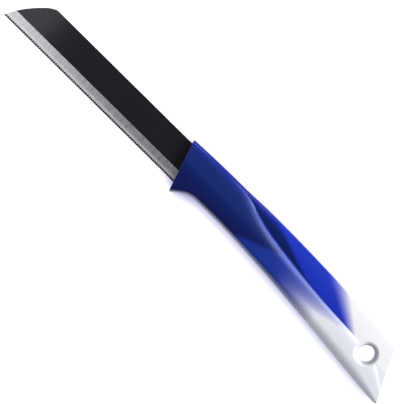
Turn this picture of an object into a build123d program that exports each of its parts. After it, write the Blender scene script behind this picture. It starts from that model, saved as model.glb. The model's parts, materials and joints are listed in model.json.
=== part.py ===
from build123d import *
import math
import os

# A small knife with a short stiff blade and a moulded handle, lying flat on its right side.
# +X runs from the tip to the butt, +Y towards the spine and +Z up from the side it lies on.
# While it is built, x is zero at the front of the handle beside the blade's spine, y is zero on the
# cutting edge and z is zero in the middle of the blade. The last step moves the origin under the
# middle of the whole knife.

# Blade
blade_length = 81.5
blade_width = 14.8
blade_thickness = 1.0
tip_run = 13.0
tip_shares = ((0.0, 0.0), (0.32, 0.466), (0.612, 0.757), (0.835, 0.93), (1.0, 1.0))
bevel_width = 4.3
edge_thickness = 0.16
tooth_pitch = 0.9
tooth_tip = 0.1
tooth_depth = 0.12
groove_reach = 1.5
groove_fall = 0.3
plain_heel = 2.0
coating_thickness = 0.05
coating_tuck = 2.0

# Tang, inside the handle
shoulder_tuck = 2.6
tang_reach = 58.0
tang_bottom = 4.8
tang_width = 8.0
tang_corner = 1.5
tang_hole_radius = 2.0
tang_hole_shares = (0.36, 0.76)

# Handle
handle_length = 112.0
handle_width = 19.5
half_thickness = 5.2
front_angle = 18.0
guard_reach = 11.9
guard_slope = 0.79
guard_blend = 2.2
butt_angle = 23.8
butt_setback = 1.6
butt_crown_share = 0.243
butt_radius = 70.0
butt_corner = 2.0
butt_round = 0.5
butt_bevel_width = 3.1
butt_bevel_depth = 2.6
butt_flat = 1.6
wall_lean = 0.2
rim_round = 0.36
front_round = 0.16
overrun = 12.0

# Hanging hole
hole_setback = 14.0
hole_radius = 3.06
hole_flare = 2.2

# Lines on the handle: how far along it, then how far up its width
spine_shares = (
    (-0.06, 0.828), (0.0, 0.838), (0.07, 0.850), (0.14, 0.860), (0.20, 0.862), (0.235, 0.861),
    (0.29, 0.873), (0.36, 0.878), (0.44, 0.874), (0.54, 0.859), (0.65, 0.834), (0.76, 0.795),
    (0.875, 0.736), (1.08, 0.665),
)
belly_shares = (
    (-0.06, 0.059), (0.10, 0.058), (0.17, 0.055), (0.25, 0.051), (0.34, 0.027), (0.44, -0.009),
    (0.55, -0.058), (0.66, -0.116), (0.78, -0.186), (0.90, -0.258), (1.08, -0.345),
)
crest_shares = (
    (-0.06, 0.745), (0.06, 0.769), (0.13, 0.783), (0.195, 0.788), (0.25, 0.755), (0.281, 0.703),
    (0.319, 0.641), (0.356, 0.591), (0.40, 0.543), (0.44, 0.508), (0.49, 0.467), (0.54, 0.430),
    (0.60, 0.390), (0.66, 0.358), (0.73, 0.331), (0.80, 0.305), (0.875, 0.256), (0.93, 0.170),
    (0.965, 0.04), (1.0, -0.10), (1.08, -0.19),
)
ridge_shares = (
    (-0.06, 0.436), (0.06, 0.429), (0.20, 0.415), (0.31, 0.390), (0.40, 0.355), (0.49, 0.302),
    (0.59, 0.232), (0.71, 0.155), (0.80, 0.11), (0.875, 0.055), (0.93, -0.02), (0.965, -0.10),
    (1.0, -0.18), (1.08, -0.255),
)
foot_gap_shares = (
    (-0.06, 0.03), (0.20, 0.03), (0.235, 0.036), (0.27, 0.04), (0.32, 0.034), (0.45, 0.03), (0.72, 0.027),
    (1.08, 0.02),
)

# Heights over the middle plane: how far along, then how far up the half thickness
crest_height_shares = (
    (-0.06, 0.94), (0.20, 0.935), (0.28, 0.91), (0.36, 0.895), (0.45, 0.88), (0.54, 0.865), (0.67, 0.85),
    (0.79, 0.825), (0.875, 0.79), (0.93, 0.74), (1.0, 0.65), (1.08, 0.59),
)
ridge_height_shares = (
    (-0.06, 1.02), (0.20, 1.02), (0.31, 1.02), (0.40, 1.015), (0.49, 0.985), (0.59, 0.94), (0.71, 0.895),
    (0.80, 0.85), (0.875, 0.795), (0.93, 0.735), (1.0, 0.63), (1.08, 0.57),
)
scoop_crown_shares = (
    (-0.06, 0.0), (0.22, 0.0), (0.28, 0.02), (0.36, 0.06), (0.50, 0.06), (0.70, 0.04), (0.85, 0.02),
    (1.08, 0.02),
)
step_shares = (
    (-0.06, 0.012), (0.19, 0.022), (0.235, 0.038), (0.265, 0.05), (0.297, 0.10), (0.33, 0.165),
    (0.38, 0.20), (0.45, 0.18), (0.54, 0.14), (0.64, 0.11), (0.75, 0.075), (0.82, 0.045), (0.88, 0.02),
    (1.08, 0.02),
)
rim_height_shares = (
    (-0.06, 0.90), (0.19, 0.885), (0.235, 0.85), (0.265, 0.825), (0.297, 0.77), (0.33, 0.71), (0.38, 0.69),
    (0.46, 0.715), (0.58, 0.73), (0.72, 0.74), (0.88, 0.72), (1.08, 0.60),
)
belly_inset_shares = (
    (-0.06, 0.082), (0.20, 0.082), (0.32, 0.085), (0.45, 0.11), (0.60, 0.165), (0.72, 0.20), (0.82, 0.205),
    (0.875, 0.195), (0.93, 0.16), (0.965, 0.12), (1.0, 0.07), (1.08, 0.04),
)

# How much steeper the step starts at its foot than a straight one: how far along, then how many times
step_steepness_shares = ((-0.06, 1.0), (0.20, 1.0), (0.32, 2.0), (0.60, 2.0), (1.08, 1.5))

# Slopes across the flank, rising away from the spine: how far along, then the rise for one across
crest_slope_shares = (
    (-0.06, 0.10), (0.18, 0.13), (0.25, 0.20), (0.30, 0.26), (0.36, 0.35), (0.45, 0.43), (0.60, 0.43),
    (0.80, 0.36), (0.92, 0.25), (1.08, 0.20),
)
ridge_slope_shares = (
    (-0.06, 0.04), (0.20, 0.04), (0.31, 0.02), (0.42, -0.02), (0.60, -0.05), (1.08, -0.10),
)
flank_slope_shares = (
    (-0.06, -0.09), (0.20, -0.09), (0.31, -0.08), (0.42, -0.05), (0.60, -0.05), (1.08, -0.10),
)

# Where each section lies along the handle
station_shares = (
    -0.06, -0.02, 0.02, 0.05, 0.075, 0.098, 0.12, 0.15, 0.18, 0.205, 0.23, 0.255, 0.28, 0.305, 0.335,
    0.37, 0.41, 0.46, 0.52, 0.59, 0.66, 0.73, 0.80, 0.86, 0.91, 0.945, 0.975, 1.01, 1.08,
)

# Where each spline of a section passes its points, as shares of the spline
scoop_shares = (0.0, 0.5, 1.0)
flank_shares = (0.0, 0.15, 0.3, 0.45, 0.6, 0.74, 0.87, 1.0)


def smooth_line(shares):
    """A function that follows the natural cubic spline through (place, value) points."""
    places, values = zip(*shares)
    steps = [b - a for a, b in zip(places, places[1:])]
    rises = [(b - a) / step for a, b, step in zip(values, values[1:], steps)]
    pivots = [2 * (steps[0] + steps[1])]
    loads = [6 * (rises[1] - rises[0])]
    for i in range(2, len(steps)):
        carry = steps[i - 1] / pivots[-1]
        pivots.append(2 * (steps[i - 1] + steps[i]) - carry * steps[i - 1])
        loads.append(6 * (rises[i] - rises[i - 1]) - carry * loads[-1])
    bends = [0.0]
    for i in reversed(range(len(pivots))):
        bends.insert(0, (loads[i] - steps[i + 1] * bends[0]) / pivots[i])
    bends.insert(0, 0.0)

    def value(place):
        i = max(k for k in range(len(steps)) if k == 0 or places[k] <= place)
        before = place - places[i]
        after = places[i + 1] - place
        bend = (bends[i] * after**3 + bends[i + 1] * before**3) / (6 * steps[i])
        start = values[i] / steps[i] - bends[i] * steps[i] / 6
        end = values[i + 1] / steps[i] - bends[i + 1] * steps[i] / 6
        return bend + start * after + end * before

    return value


spine_line = smooth_line(spine_shares)
belly_line = smooth_line(belly_shares)
crest_line = smooth_line(crest_shares)
ridge_line = smooth_line(ridge_shares)
foot_gap = smooth_line(foot_gap_shares)
crest_height = smooth_line(crest_height_shares)
ridge_height = smooth_line(ridge_height_shares)
step_depth = smooth_line(step_shares)
step_steepness = smooth_line(step_steepness_shares)
rim_height = smooth_line(rim_height_shares)
scoop_crown = smooth_line(scoop_crown_shares)
belly_inset = smooth_line(belly_inset_shares)
crest_slope = smooth_line(crest_slope_shares)
ridge_slope = smooth_line(ridge_slope_shares)
flank_slope = smooth_line(flank_slope_shares)


def front_x(y):
    """Where the handle's slanted front face lies at a height y."""
    return (blade_width - y) * math.tan(math.radians(front_angle))


def belly_y(place):
    """The underside at a place, where the finger guard drops in front in a straight ramp."""
    before = guard_reach - place * handle_length
    drop = guard_slope * (before + math.hypot(before, guard_blend)) / 2
    return belly_line(place) * handle_width - drop


def flank_point(share, ridge, slope, corner, belly):
    """A point of the lower flank, which runs straight from the ridge and turns under like an ellipse."""
    ridge_y, ridge_z = ridge
    corner_z = ridge_z + slope * (ridge_y - corner)
    inset = corner - belly
    straight = math.hypot(ridge_y - corner, ridge_z - corner_z)
    bend = math.pi / 2 * math.sqrt((inset**2 + corner_z**2) / 2)
    way = share * (straight + bend)
    if way < straight:
        down = way / straight
        return ridge_y + down * (corner - ridge_y), ridge_z + down * (corner_z - ridge_z)
    turn = math.pi / 2 * (way - straight) / bend
    rise = corner_z + slope * inset * math.sin(turn)
    return corner - inset * math.sin(turn), rise * math.cos(turn)


def section(place):
    """One closed section across the handle, square to its length."""
    x = place * handle_length
    spine = spine_line(place) * handle_width
    belly = belly_y(place)
    crest = crest_line(place) * handle_width
    ridge = ridge_line(place) * handle_width
    foot = crest + foot_gap(place) * handle_width
    rim = spine - wall_lean - rim_round
    corner = belly + belly_inset(place) * handle_width
    crest_z = crest_height(place) * half_thickness
    ridge_z = ridge_height(place) * half_thickness
    foot_z = crest_z - step_depth(place) * half_thickness
    rim_z = rim_height(place) * half_thickness
    crown = scoop_crown(place) * half_thickness
    slope = flank_slope(place)
    wall = [(spine, 0), (spine - wall_lean, rim_z - rim_round)]
    scoop = [(rim, rim_z), ((rim + foot) / 2, (rim_z + foot_z) / 2 + crown), (foot, foot_z)]
    flank = [flank_point(share, (ridge, ridge_z), slope, corner, belly) for share in flank_shares]
    edges = []
    for side in (1, -1):
        wall_points = [Vector(x, y, side * z) for y, z in wall]
        scoop_points = [Vector(x, y, side * z) for y, z in scoop]
        flank_points = [Vector(x, y, side * z) for y, z in flank]
        crest_point = Vector(x, crest, side * crest_z)
        across = scoop_points[1] - scoop_points[0]
        climb = Vector(0, -1, side * crest_slope(place))
        level = Vector(0, -1, side * ridge_slope(place))
        fall = Vector(0, -1, side * slope)
        rise = crest_point - scoop_points[-1]
        steep = Vector(0, rise.Y, step_steepness(place) * rise.Z)
        half = [
            Edge.make_line(*wall_points),
            Edge.make_spline([wall_points[1], scoop_points[0]], tangents=[Vector(0, 0, side), across]),
            Edge.make_spline(scoop_points, parameters=scoop_shares),
            Edge.make_spline([scoop_points[-1], crest_point], tangents=[steep, climb]),
            Edge.make_spline([crest_point, flank_points[0]], tangents=[climb, level]),
            Edge.make_spline(flank_points, tangents=[fall, Vector(0, 0, -side)], parameters=flank_shares),
        ]
        edges += half if side == 1 else half[::-1]
    return Wire(edges)


def tooth_places():
    """Where the gullets between the teeth lie along the edge."""
    count = int((front_x(0) - plain_heel + blade_length) / tooth_pitch)
    return [(i + 1) * tooth_pitch - blade_length for i in range(count)]


def make_profile():
    """The blade and its tang seen from the side, with the fine teeth."""
    tip_x = -blade_length
    tip_points = [(tip_x + run * tip_run, rise * blade_width) for run, rise in tip_shares]
    heel_x = front_x(0) + shoulder_tuck
    tang_top = tang_bottom + tang_width
    strip = Polyline(
        tip_points[-1],
        (shoulder_tuck, blade_width),
        (shoulder_tuck, tang_top),
        (tang_reach, tang_top),
        (tang_reach, tang_bottom),
        (heel_x, tang_bottom),
        (heel_x, 0),
        tip_points[0],
    )
    profile = make_face(Spline(*tip_points).edges() + strip.edges())
    tang_end = profile.vertices().sort_by(Axis.X)[-2:]
    profile = fillet(tang_end, tang_corner)
    tooth_chord = tooth_pitch - tooth_tip
    gullet_radius = (tooth_chord**2 / 4 + tooth_depth**2) / (2 * tooth_depth)
    gullet_places = [Pos(x, tooth_depth - gullet_radius) for x in tooth_places()]
    hole_places = [Pos(share * tang_reach, tang_bottom + tang_width / 2) for share in tang_hole_shares]
    profile -= [place * Circle(gullet_radius) for place in gullet_places]
    profile -= [place * Circle(tang_hole_radius) for place in hole_places]
    return profile


def make_blade(profile):
    """The steel strip with a bevel ground on both sides of the edge, and a groove over each gullet."""
    strip = extrude(profile, amount=blade_thickness / 2, both=True)
    half = blade_thickness / 2
    slope = (half - edge_thickness / 2) / bevel_width
    ground = Polyline(
        (bevel_width, half),
        (-edge_thickness, half - slope * (bevel_width + edge_thickness)),
        (-edge_thickness, blade_thickness),
        (bevel_width, blade_thickness),
        close=True,
    )
    reach = blade_length + overrun
    wedge = extrude(Plane.YZ.offset(-reach) * make_face(ground), amount=2 * reach)
    level = half - slope * (bevel_width - groove_reach)
    run = Vector(0, -groove_reach, -groove_fall)
    width = tooth_pitch - tooth_tip
    mouth = Polyline((-width, groove_fall), (0, 0), (width, groove_fall), close=True)
    start = Plane((0, groove_reach, level), x_dir=(1, 0, 0), z_dir=run)
    groove = extrude(start * make_face(mouth), 2 * bevel_width)
    return strip - wedge - mirror(wedge, Plane.XY) - [Pos(x) * groove for x in tooth_places()]


def make_coating(profile):
    """The black film on the flat of one side, from the bevel to the spine."""
    covered = Polyline(
        (-blade_length, bevel_width),
        (front_x(bevel_width) + coating_tuck, bevel_width),
        (front_x(blade_width) + coating_tuck, blade_width),
        (-blade_length, blade_width),
        close=True,
    )
    return Pos(0, 0, blade_thickness / 2) * extrude(profile & make_face(covered), amount=coating_thickness)


def make_ends():
    """A block as long as the handle, slanted in front, and rounded and bevelled at the butt."""
    high = blade_width + overrun
    low = -handle_width - overrun
    back = handle_length + overrun
    sides = Polyline((front_x(high), high), (back, high), (back, low), (front_x(low), low), close=True)
    block = extrude(make_face(sides), amount=handle_width, both=True)
    out = Vector(math.cos(math.radians(butt_angle)), math.sin(math.radians(butt_angle)))
    crown = Vector(handle_length - butt_setback, butt_crown_share * handle_width)
    center = crown - out * butt_radius
    block &= Pos(center) * Cylinder(butt_radius, 2 * handle_width)
    slope = out * butt_bevel_depth + Vector(0, 0, butt_bevel_width)
    edge = Plane(crown + Vector(0, 0, butt_flat), z_dir=slope)
    bevel = edge * Box(handle_length, handle_length, overrun, align=(Align.CENTER, Align.CENTER, Align.MIN))
    block -= [bevel, mirror(bevel, Plane.XY)]
    block = fillet(block.edges().filter_by(GeomType.ELLIPSE), butt_round)

    corner_y = belly_y(1) + butt_corner
    corner_run = math.sqrt((butt_radius - butt_corner) ** 2 - (corner_y - center.Y) ** 2)
    corner = Vector(center.X + corner_run, corner_y)
    beyond = corner + (corner - center).normalized() * overrun
    under = Vector(0, -overrun)
    quarter = make_face(Polyline(corner, beyond, beyond + under, corner + under, close=True))
    quarter -= Pos(corner) * Circle(butt_corner)
    return block - extrude(quarter, amount=handle_width, both=True)


def make_hole(center):
    """The hanging hole: a straight bore that flares out to both flanks."""
    mouth_z = crest_height(center.X / handle_length) * half_thickness
    flare_z = mouth_z - hole_flare
    mouth = hole_radius + hole_flare
    turn = hole_flare * math.sin(math.pi / 4)
    flare = ThreePointArc((hole_radius, flare_z), (mouth - turn, flare_z + turn), (mouth, mouth_z))
    top_z = mouth_z + overrun
    upper = Polyline((mouth, mouth_z), (mouth, top_z), (0, top_z), (0, 0))
    lower = Polyline((0, 0), (hole_radius, 0), (hole_radius, flare_z))
    bore = revolve(Plane.XZ * make_face(flare.edges() + upper.edges() + lower.edges()), Axis.Z)
    return Pos(center) * (bore + mirror(bore, Plane.XY))


def make_handle(hole, insert):
    """The moulding, filling the holes of the tang and open where the insert lies."""
    body = Solid.make_loft([section(place) for place in station_shares]) & make_ends()
    front = body.faces().sort_by(Axis.X)[0]
    body = fillet(front.edges(), front_round)
    return body - make_hole(hole) - insert


profile = make_profile()
blade = make_blade(profile)
left_coating = make_coating(profile)
right_coating = mirror(left_coating, Plane.XY)
hole_x = handle_length - hole_setback
hole = Vector(hole_x, crest_line(hole_x / handle_length) * handle_width)
nodes = {
    "blade": blade,
    "blade_coating_left": left_coating,
    "blade_coating_right": right_coating,
    "handle": make_handle(hole, blade + left_coating + right_coating),
}
box = Compound(list(nodes.values())).bounding_box()
middle = box.center()
rest = Pos(-middle.X, -middle.Y, -box.min.Z)
print("box", box.size, "hanging hole", (rest * Pos(hole)).position)
os.makedirs("parts", exist_ok=True)
for name, solid in nodes.items():
    export_step(rest * solid, f"parts/{name}.step")
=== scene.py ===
import json
import math

import bpy
from mathutils import Matrix, Vector


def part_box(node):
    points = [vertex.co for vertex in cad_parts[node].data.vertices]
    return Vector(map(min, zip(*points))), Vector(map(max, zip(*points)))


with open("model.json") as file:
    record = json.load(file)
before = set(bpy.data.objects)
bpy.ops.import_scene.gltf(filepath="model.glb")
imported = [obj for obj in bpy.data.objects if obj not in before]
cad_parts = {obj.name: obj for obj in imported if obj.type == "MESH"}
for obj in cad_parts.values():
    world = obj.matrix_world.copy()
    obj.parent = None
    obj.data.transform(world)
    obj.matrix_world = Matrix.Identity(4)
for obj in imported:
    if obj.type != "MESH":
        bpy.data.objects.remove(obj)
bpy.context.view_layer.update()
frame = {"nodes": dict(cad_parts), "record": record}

# Lengths and places are in mm, and colours are linear
MM = 0.001
HOLE_X, HOLE_Y = (value / MM for value in frame["record"]["mounts"][0]["pos_m"][:2])

# Camera: it looks straight down, with the knife along the picture's falling diagonal
DIAGONAL_TURN = math.radians(45)
BLADE_TURN = 0.0061                 # what the blade is turned from the diagonal, in radians
PICTURE_TURN = DIAGONAL_TURN - BLADE_TURN
RIGHT = Vector((math.cos(PICTURE_TURN), math.sin(PICTURE_TURN), 0))
UP = Vector((-math.sin(PICTURE_TURN), math.cos(PICTURE_TURN), 0))
AIM_FROM_HOLE = -81.25              # the picture's middle, along x from the hanging hole
AIM_Y = -3.9
CAMERA_HEIGHT = 700
BLADE_LEVEL = 5.3                   # the blade's middle plane over the floor
PICTURE_PIXELS = 404                # the picture's long side
PIXEL_SIZE = 0.362                  # what a pixel covers at the blade
SENSOR_WIDTH = 36
CLIP_NEAR = 50
CLIP_FAR = 10000

# Steel: fine grinding lines, a honed strip along the edge with a painted sheen, and painted shade in
# the gullets between the teeth
TOOTH_PITCH = 0.9
GULLET_WIDTH = 0.84
GULLET_HEIGHT = 1.6
GULLET_RISE = 0.1                   # the gullet's middle over the edge
GULLET_FADE = (0.7, 1.5)            # from dark to bright, as squares of the way from middle to rim
# the painted shade in the gullets
GULLET_SHADE = (0.008, 0.008, 0.012, 1)
HONED_FADE = (1.2, 2.2)             # where the honed strip and its painted sheen end, over the edge
# the honed strip's lighter steel, a painted sheen
HONED_SHEEN = (0.84, 0.84, 0.86, 1)
HONED_ROUGHNESS = 0.08              # what honing adds to the steel's own roughness
GRIND_SCALE = (5200, 260, 260)      # noise cells to the metre, along, across and through the blade
GRIND_DETAIL = 5
GRIND_CONTRAST = (0.3, 0.7)         # the noise values of the darkest and the lightest steel
GRIND_DEPTH = 0.02
GRIND_STRENGTH = 0.35
DARK_STEEL = (0.60, 0.605, 0.635, 1)
LIGHT_STEEL = (0.78, 0.785, 0.81, 1)
ROUGHNESS_SPAN = (0.2, 0.8)         # the noise values of the lowest and the highest roughness
STEEL_ROUGHNESS = (0.26, 0.34)

# Coating: a satin black film
FILM_GRAINS = 1800                  # noise cells to the metre
FILM_DETAIL = 4
DARK_FILM = (0.010, 0.010, 0.013, 1)
LIGHT_FILM = (0.014, 0.014, 0.018, 1)
FILM_ROUGHNESS = (0.09, 0.13)
FILM_TINT = (0.94, 0.92, 1, 1)

# Handle: its dye goes from navy in front through blue to white at the butt, with painted light and
# shade laid on it

# The crest parts the scoop, on the spine's side, from the flank. A point of it, like those of the
# fronts below, has x from the hanging hole and then y.
CREST_POINTS = (
    (-101.75, 9.6), (-83.75, 9.75), (-76.25, 9.78), (-70.05, 9.18), (-66.55, 8.16), (-62.25, 6.95),
    (-58.15, 5.97), (-53.25, 5.04), (-48.75, 4.36), (-43.15, 3.56), (-37.55, 2.83), (-30.75, 2.05),
    (-24.15, 1.43), (-16.25, 0.9), (-8.45, 0.4), (-0.05, -0.56), (16.25, -1.5),
)
CREST_LIMIT = 20                    # no crest point's y is further out
CREST_FADE = (0.2, 0.6)             # over the crest, where the flank's colours give way to the scoop's; past the navy, the flank's are darker with painted shade

# A front is a line of equal dye: a point in the scoop and one on the flank, each with how far the
# line runs towards the butt for each mm nearer to the crest.
NAVY_FRONT = ((-53.15, 9.7, 2.87), (-59.95, -1.8, 2.6))
FADE_START = ((-33.15, 10.8, 1.95), (-47.85, -1.8, -1.2))
FADE_END = ((-19.45, 10.7, 1.26), (-18.15, -1.9, 4.5))
FRONT_FOOT = -3                     # the y under which a front runs straight across
NAVY_BLUR = 3                       # how far the navy blurs to each side of its front
WHITE_BEND = 2.4                    # how late the dye turns white
LILAC_BEND = 0.65                   # and, as a share of that, how late its blue does

FLANK_FADE = (-2.5, 5.5)            # the y over which the flank's navy lightens, out of a painted shade low down
CREST_GLOW = 1.8                    # how far under the crest its painted highlight, a brighter navy, reaches
RIM_FADE = (8.4, 10)                # the y where the scoop's rim, with its painted light and lesser gloss, starts and where it is full
FOOT_FADE = (0.4, 1.8)              # over the crest, where the painted shade at the scoop's foot ends
FOOT_SHADE_SHARE = 0.6
STEEP_FADE = (0.15, 0.55)           # the normal's z, from a steep side to a top face
STEEP_SHARE = 0.85
BORE_FADE = (3, 5)                  # the way from the hole's axis over which its painted shade ends
LEE_FADE = (-2.6, 0.6)              # the x over which that shade starts, going towards the butt
LEE_SLOPE = 0.5                     # and how much sooner it starts for each mm of y
# the flank's navy low down, darkened by painted shade
NAVY_LOW_SHADE = (0.004, 0.010, 0.095, 1)
NAVY_TOP = (0.007, 0.019, 0.165, 1)
# the painted highlight under the crest
NAVY_CREST_HIGHLIGHT = (0.010, 0.026, 0.30, 1)
NAVY_SCOOP = (0.004, 0.014, 0.13, 1)
# the painted light on the scoop's rim
NAVY_RIM_LIGHT = (0.005, 0.014, 0.27, 1)
# the flank's blue and bluish white are the scoop's, darkened by painted shade
BLUE_FLANK_SHADED = (0.012, 0.036, 0.31, 1)
BLUE_SCOOP = (0.012, 0.036, 0.52, 1)
WHITE_FLANK_SHADED = (0.89, 0.90, 0.98, 1)
WHITE_SCOOP = (0.98, 0.975, 1, 1)
# the painted shade at the scoop's foot
FOOT_SHADE = (0.008, 0.022, 0.26, 1)
# the steep sides' painted light
STEEP_LIGHT_BLUE = (0.02, 0.038, 0.40, 1)
# the painted shade in the hanging hole
BORE_SHADE = (0.42, 0.43, 0.50, 1)
PLASTIC_ROUGHNESS = 0.24
PLASTIC_GLOSS = 0.5
RIM_GLOSS_LOSS = 0.32               # how much less glossy the scoop's rim is
PLASTIC_TINT = (0.60, 0.70, 1, 1)

# Floor: seen as white, with a lilac shade close to the knife but none in the hanging hole
FLOOR_HALF = 3000
FLOOR_GREY = (0.5, 0.5, 0.53, 1)    # what lights the knife from below
FLOOR_WHITE = (1, 1, 1, 1)
FLOOR_ROUGHNESS = 0.9
SHADE_REACH = 7.2
SHADE_FADE = (0.25, 0.87)           # how open to the sky the floor is, from full shade to none
SHADE_TINT = (0.15, 0.16, 0.48, 1)
HOLE_LIGHT_RADIUS = 4.3

# World: a light tent, brighter towards the picture's upper right
SKY_FADE = (0.3, 0.85)              # this and the next are heights of a direction, from 0 to 1
TENT_FADE = (0.35, 0.6)
SKY_GLOW = (0.6, 0.1)               # the sky's light low down and high up
TENT_GLOW = 13                      # what the tent adds towards the upper right
TENT_BEND = 3                       # how fast that falls off to the sides
TENT_CAP = 5
DIFFUSE_GLOW = 0.16                 # what diffuse light gets from the world in place of all that
WORLD_TINT = (0.97, 0.97, 1, 1)

# Lamps: places and aims go right and up in the picture and up from the floor
KEY_PLACE = (820, 100, 620)
KEY_AIM = (0, 0, 0)
KEY_SIZE = (1200, 800)
KEY_GLOW = 4.7
PANEL_PLACE = (-192, 192, 350)
PANEL_AIM = (-192, 192, 0)
PANEL_SIZE = (300, 500)
PANEL_GLOW = 1.15


def add_object(name, data):
    holder = bpy.data.objects.new(name, data)
    bpy.context.scene.collection.objects.link(holder)
    return holder


def make_camera():
    camera = bpy.data.cameras.new("camera")
    camera.sensor_width = SENSOR_WIDTH
    camera.lens = SENSOR_WIDTH * (CAMERA_HEIGHT - BLADE_LEVEL) / (PICTURE_PIXELS * PIXEL_SIZE)
    camera.clip_start = CLIP_NEAR * MM
    camera.clip_end = CLIP_FAR * MM
    holder = add_object("camera", camera)
    place = Matrix((RIGHT, UP, Vector((0, 0, 1)))).transposed().to_4x4()
    place.translation = Vector((HOLE_X + AIM_FROM_HOLE, AIM_Y, CAMERA_HEIGHT)) * MM
    holder.matrix_world = place
    bpy.context.scene.camera = holder


class Nodes:
    """A short way to write the nodes of a material or of the world."""

    def __init__(self, owner, shader="Principled BSDF"):
        owner.use_nodes = True
        self.owner = owner
        self.tree = owner.node_tree
        self.shader = self.tree.nodes[shader]

    def link(self, value, socket):
        if isinstance(value, bpy.types.NodeSocket):
            self.tree.links.new(value, socket)
        else:
            socket.default_value = value

    def set(self, name, value):
        """Gives the shader a constant or what a node makes."""
        self.link(value, self.shader.inputs[name])

    def add(self, kind, *values, **settings):
        node = self.tree.nodes.new(kind)
        for name, value in settings.items():
            setattr(node, name, value)
        for socket, value in zip(node.inputs, values):
            if value is not None:
                self.link(value, socket)
        return node

    def math(self, operation, *values):
        return self.add("ShaderNodeMath", *values, operation=operation).outputs[0]

    def vector(self, operation, *values):
        return self.add("ShaderNodeVectorMath", *values, operation=operation).outputs

    def joined(self, *parts):
        return self.add("ShaderNodeCombineXYZ", *parts).outputs[0]

    def parts(self, vector):
        return self.add("ShaderNodeSeparateXYZ", vector).outputs

    def coordinates(self, kind):
        return self.add("ShaderNodeTexCoord").outputs[kind]

    def rays(self):
        return self.add("ShaderNodeLightPath").outputs

    def place(self):
        """The x and y of the point on the object, in mm."""
        return [self.math("DIVIDE", part, MM) for part in self.parts(self.coordinates("Object"))[:2]]

    def ramp(self, value, low, high, start=0, end=1):
        """Goes smoothly from start to end while the value goes from low to high."""
        node = self.add("ShaderNodeMapRange", value, low, high, start, end)
        node.interpolation_type = "SMOOTHSTEP"
        return node.outputs[0]

    def curve(self, value, points, limit):
        """The height of a smooth line through (x, y) points, where no y is further out than limit."""
        low, high = points[0][0], points[-1][0]
        node = self.add("ShaderNodeFloatCurve")
        self.link(self.add("ShaderNodeMapRange", value, low, high).outputs[0], node.inputs[1])
        line = node.mapping.curves[0].points
        node.mapping.clip_min_y, node.mapping.clip_max_y = -1, 1
        while len(line) < len(points):
            line.new(0.5, 0.5)
        for point, (x, y) in zip(line, points):
            point.location = ((x - low) / (high - low), y / limit)
        node.mapping.update()
        return self.math("MULTIPLY", node.outputs[0], limit)

    def mix(self, share, first, second):
        node = self.add("ShaderNodeMix", share, data_type="RGBA")
        self.link(first, node.inputs[6])
        self.link(second, node.inputs[7])
        return node.outputs[2]

    def noise(self, coordinates, scale, detail):
        node = self.add("ShaderNodeTexNoise", coordinates)
        node.inputs["Scale"].default_value = scale
        node.inputs["Detail"].default_value = detail
        return node.outputs[0]


def gullet_shade_share(nodes, x, rise):
    """How much of a point is in a gullet's painted shade, by its x from the tip and its rise over the
    edge.
    """
    teeth = nodes.math("DIVIDE", x, TOOTH_PITCH)
    aside = nodes.math("MULTIPLY", nodes.math("PINGPONG", teeth, 0.5), TOOTH_PITCH)
    reach = nodes.math("DIVIDE", aside, GULLET_WIDTH / 2)
    climb = nodes.math("DIVIDE", nodes.math("SUBTRACT", rise, GULLET_RISE), GULLET_HEIGHT / 2)
    away = nodes.math("MULTIPLY_ADD", climb, climb, nodes.math("MULTIPLY", reach, reach))
    return nodes.ramp(away, *GULLET_FADE, 1, 0)


def steel_material():
    nodes = Nodes(bpy.data.materials.new("ground_steel"))
    x, y = nodes.place()
    tip, edge = (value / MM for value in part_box("blade")[0][:2])
    rise = nodes.math("SUBTRACT", y, edge)
    gullet_shade = gullet_shade_share(nodes, nodes.math("SUBTRACT", x, tip), rise)
    # The honed strip is rougher, and lighter with a painted sheen
    honed_and_sheen = nodes.ramp(rise, *HONED_FADE, 1, 0)
    stretched = nodes.vector("MULTIPLY", nodes.coordinates("Object"), GRIND_SCALE)[0]
    lines = nodes.noise(stretched, 1, GRIND_DETAIL)
    steel = nodes.mix(nodes.ramp(lines, *GRIND_CONTRAST), DARK_STEEL, LIGHT_STEEL)
    steel = nodes.mix(honed_and_sheen, steel, HONED_SHEEN)
    rough = nodes.ramp(lines, *ROUGHNESS_SPAN, *STEEL_ROUGHNESS)
    bump = nodes.add("ShaderNodeBump")
    bump.inputs["Strength"].default_value = GRIND_STRENGTH
    bump.inputs["Distance"].default_value = GRIND_DEPTH * MM
    nodes.link(lines, bump.inputs["Height"])
    nodes.set("Base Color", nodes.mix(gullet_shade, steel, GULLET_SHADE))
    nodes.set("Metallic", 1)
    nodes.set("Roughness", nodes.math("MULTIPLY_ADD", honed_and_sheen, HONED_ROUGHNESS, rough))
    nodes.set("Normal", bump.outputs[0])
    return nodes.owner


def coating_material():
    nodes = Nodes(bpy.data.materials.new("black_film"))
    grain = nodes.noise(nodes.coordinates("Object"), FILM_GRAINS, FILM_DETAIL)
    nodes.set("Base Color", nodes.mix(grain, DARK_FILM, LIGHT_FILM))
    nodes.set("Roughness", nodes.ramp(grain, *ROUGHNESS_SPAN, *FILM_ROUGHNESS))
    nodes.set("Specular Tint", FILM_TINT)
    return nodes.owner


def front_x(nodes, y, scoop, front):
    """The x of a front at this y, by how much of the point is in the scoop."""
    (scoop_x, scoop_y, scoop_run), (flank_x, flank_y, flank_run) = front
    fall = nodes.math("SUBTRACT", scoop_y, y)
    climb = nodes.math("SUBTRACT", nodes.math("MAXIMUM", y, FRONT_FOOT), flank_y)
    in_scoop = nodes.math("MULTIPLY_ADD", fall, scoop_run, scoop_x)
    on_flank = nodes.math("MULTIPLY_ADD", climb, flank_run, flank_x)
    return nodes.math("MULTIPLY_ADD", scoop, nodes.math("SUBTRACT", in_scoop, on_flank), on_flank)


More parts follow.
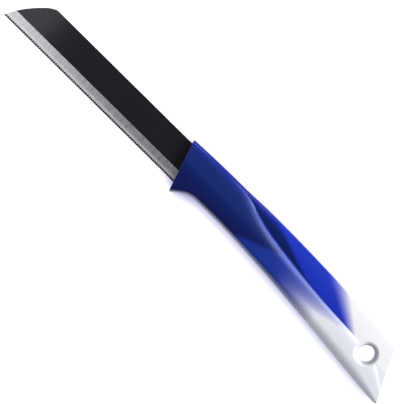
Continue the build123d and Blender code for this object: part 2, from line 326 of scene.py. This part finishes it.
def white_share(nodes, x, y, scoop):
    """How far the dye has faded to white."""
    start = front_x(nodes, y, scoop, FADE_START)
    end = front_x(nodes, y, scoop, FADE_END)
    whole = nodes.math("SUBTRACT", end, start)
    passed = nodes.math("DIVIDE", nodes.math("SUBTRACT", x, start), whole)
    return nodes.math("POWER", nodes.math("MINIMUM", nodes.math("MAXIMUM", passed, 0), 1), WHITE_BEND)


def navy_with_painted_light(nodes, y, over_crest, scoop, rim):
    """Navy, with painted shade low on the flank and painted highlights under the crest and on the
    scoop's rim.
    """
    low = nodes.mix(nodes.ramp(y, *FLANK_FADE), NAVY_LOW_SHADE, NAVY_TOP)
    flank = nodes.mix(nodes.ramp(over_crest, -CREST_GLOW, 0), low, NAVY_CREST_HIGHLIGHT)
    return nodes.mix(scoop, flank, nodes.mix(rim, NAVY_SCOOP, NAVY_RIM_LIGHT))


def faded_dye_and_shade(nodes, over_crest, scoop, white):
    """Blue that turns white, its blue sooner than its red and green, with painted shade at the
    scoop's foot and on the flank.
    """
    foot_shade = nodes.math("MULTIPLY", scoop, nodes.ramp(over_crest, *FOOT_FADE, FOOT_SHADE_SHARE, 0))
    blue = nodes.mix(foot_shade, nodes.mix(scoop, BLUE_FLANK_SHADED, BLUE_SCOOP), FOOT_SHADE)
    shares = nodes.joined(white, white, nodes.math("POWER", white, LILAC_BEND))
    gap = nodes.vector("SUBTRACT", nodes.mix(scoop, WHITE_FLANK_SHADED, WHITE_SCOOP), blue)[0]
    return nodes.vector("MULTIPLY_ADD", gap, shares, blue)[0]


def steep_share(nodes, white):
    """How much of a point gets the steep sides' painted light, a clearer blue."""
    level = nodes.math("ABSOLUTE", nodes.parts(nodes.coordinates("Normal"))[2])
    steep = nodes.ramp(level, *STEEP_FADE, STEEP_SHARE, 0)
    return nodes.math("MULTIPLY", steep, nodes.math("SUBTRACT", 1, white))


def bore_share(nodes, x, y):
    """How much of a point is in the hanging hole's painted shade."""
    over_hole = nodes.math("SUBTRACT", y, HOLE_Y)
    away = nodes.vector("LENGTH", nodes.joined(x, over_hole))["Value"]
    lee = nodes.ramp(nodes.math("MULTIPLY_ADD", over_hole, LEE_SLOPE, x), *LEE_FADE)
    return nodes.math("MULTIPLY", nodes.ramp(away, *BORE_FADE, 1, 0), lee)


def handle_material():
    nodes = Nodes(bpy.data.materials.new("blue_white_plastic"))
    x, y = nodes.place()
    x = nodes.math("SUBTRACT", x, HOLE_X)
    over_crest = nodes.math("SUBTRACT", y, nodes.curve(x, CREST_POINTS, CREST_LIMIT))
    scoop = nodes.ramp(over_crest, *CREST_FADE)
    rim = nodes.math("MULTIPLY", scoop, nodes.ramp(y, *RIM_FADE))
    white = white_share(nodes, x, y, scoop)
    # The dye, with painted shade and painted highlights laid on it
    navy = navy_with_painted_light(nodes, y, over_crest, scoop, rim)
    faded = faded_dye_and_shade(nodes, over_crest, scoop, white)
    past_navy = nodes.math("SUBTRACT", x, front_x(nodes, y, scoop, NAVY_FRONT))
    dye_and_light = nodes.mix(nodes.ramp(past_navy, -NAVY_BLUR, NAVY_BLUR), navy, faded)
    # painted light on the steep sides
    dye_and_light = nodes.mix(steep_share(nodes, white), dye_and_light, STEEP_LIGHT_BLUE)
    nodes.set("Base Color", nodes.mix(bore_share(nodes, x, y), dye_and_light, BORE_SHADE))
    nodes.set("Roughness", PLASTIC_ROUGHNESS)
    nodes.set("Specular IOR Level", nodes.math("MULTIPLY_ADD", rim, -RIM_GLOSS_LOSS, PLASTIC_GLOSS))
    nodes.set("Specular Tint", PLASTIC_TINT)
    return nodes.owner


def floor_material():
    nodes = Nodes(bpy.data.materials.new("floor"))
    x, y = nodes.place()
    away = nodes.vector("DISTANCE", nodes.joined(x, y), (HOLE_X, HOLE_Y, 0))["Value"]
    shade = nodes.add("ShaderNodeAmbientOcclusion")
    shade.inputs["Distance"].default_value = SHADE_REACH * MM
    in_hole = nodes.math("LESS_THAN", away, HOLE_LIGHT_RADIUS)
    open_sky = nodes.math("MAXIMUM", nodes.ramp(shade.outputs["AO"], *SHADE_FADE), in_hole)
    rays = nodes.rays()
    in_gloss = nodes.math("MAXIMUM", rays["Is Glossy Ray"], rays["Is Transmission Ray"])
    nodes.set("Emission Color", nodes.mix(open_sky, SHADE_TINT, FLOOR_WHITE))
    nodes.set("Emission Strength", nodes.math("MAXIMUM", rays["Is Camera Ray"], in_gloss))
    nodes.set("Base Color", FLOOR_GREY)
    nodes.set("Roughness", FLOOR_ROUGHNESS)
    nodes.set("Specular IOR Level", 0)
    return nodes.owner


def make_floor():
    mesh = bpy.data.meshes.new("floor")
    half = FLOOR_HALF * MM
    corners = [(-half, -half, 0), (half, -half, 0), (half, half, 0), (-half, half, 0)]
    mesh.from_pydata(corners, [], [(0, 1, 2, 3)])
    mesh.materials.append(floor_material())
    floor = add_object("floor", mesh)


def make_world():
    world = bpy.data.worlds.new("world")
    bpy.context.scene.world = world
    world.cycles.sampling_method = "NONE"
    nodes = Nodes(world, "Background")
    direction = nodes.coordinates("Generated")
    height = nodes.parts(direction)[2]
    toward_key = nodes.vector("DOT_PRODUCT", direction, (RIGHT + UP).normalized())["Value"]
    glow = nodes.math("POWER", nodes.math("MAXIMUM", toward_key, 0), TENT_BEND)
    sky = nodes.ramp(height, *SKY_FADE, *SKY_GLOW)
    tent = nodes.math("MULTIPLY_ADD", glow, nodes.ramp(height, *TENT_FADE, 0, TENT_GLOW), sky)
    capped = nodes.math("MINIMUM", tent, TENT_CAP)
    rays = nodes.rays()
    choice = (rays["Is Diffuse Ray"], None, capped, DIFFUSE_GLOW)
    plain = nodes.add("ShaderNodeMix", *choice, data_type="FLOAT").outputs[0]
    nodes.set("Color", WORLD_TINT)
    nodes.set("Strength", nodes.math("MAXIMUM", plain, rays["Is Camera Ray"]))


def make_lamp(name, place, aim, size, glow, turn=0):
    """A soft box at its place that faces its aim."""
    lamp = bpy.data.lights.new(name, "AREA")
    lamp.shape = "RECTANGLE"
    lamp.size, lamp.size_y = (length * MM for length in size)
    lamp.energy = glow * math.pi * lamp.size * lamp.size_y
    place, aim = ((RIGHT * x + UP * y + Vector((0, 0, z))) * MM for x, y, z in (place, aim))
    back = (place - aim).normalized()
    side = Matrix.Rotation(turn, 3, back) @ UP.cross(back).normalized()
    matrix = Matrix((side, back.cross(side), back)).transposed().to_4x4()
    matrix.translation = place
    add_object(name, lamp).matrix_world = matrix


def wear(node, material):
    materials = frame["nodes"][node].data.materials
    materials.clear()
    materials.append(material)


make_camera()
wear("blade", steel_material())
coating = coating_material()
wear("blade_coating_left", coating)
wear("blade_coating_right", coating)
wear("handle", handle_material())
make_floor()
make_world()
make_lamp("key", KEY_PLACE, KEY_AIM, KEY_SIZE, KEY_GLOW)
make_lamp("tip_panel", PANEL_PLACE, PANEL_AIM, PANEL_SIZE, PANEL_GLOW, -DIAGONAL_TURN)
bpy.context.scene.view_settings.view_transform = "Standard"
